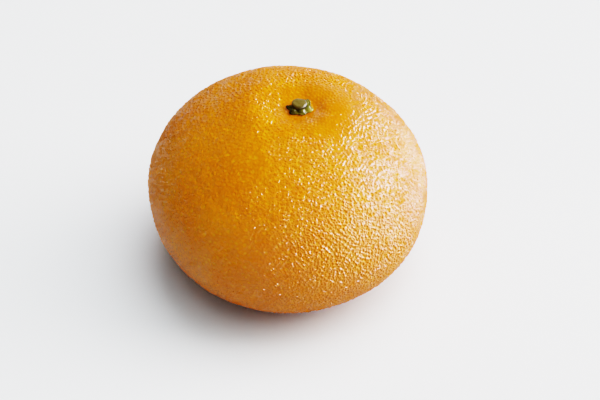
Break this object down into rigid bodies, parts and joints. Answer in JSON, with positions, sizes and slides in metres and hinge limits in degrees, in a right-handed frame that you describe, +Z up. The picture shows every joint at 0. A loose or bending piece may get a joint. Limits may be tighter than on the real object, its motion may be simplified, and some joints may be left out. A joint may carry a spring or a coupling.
{
  "type": "mandarin",
  "caption": "Whole mandarin as picked: a squat round citrus fruit with a pitted rind, a hollow at the stem end, a lobed calyx and a stub of stem.",
  "frame": {"origin": "on the resting plane, under the middle of the fruit", "axes": "+Z up, from the blossom end that the fruit stands on to the stem end; the stem is off the middle towards +X; the fruit has no front, and -Y is towards the usual viewer"},
  "size_m": [0.0719, 0.0721, 0.0537],
  "materials": {
    "rind": "waxy orange rind, finely pitted, soft gloss",
    "calyx": "fresh olive-green calyx, soft gloss",
    "stem": "olive-brown cut stem, soft gloss"
  },
  "bodies": {
    "root": {"fruit": "rind", "calyx": "calyx", "stem_stub": "stem"}
  },
  "joints": []
}
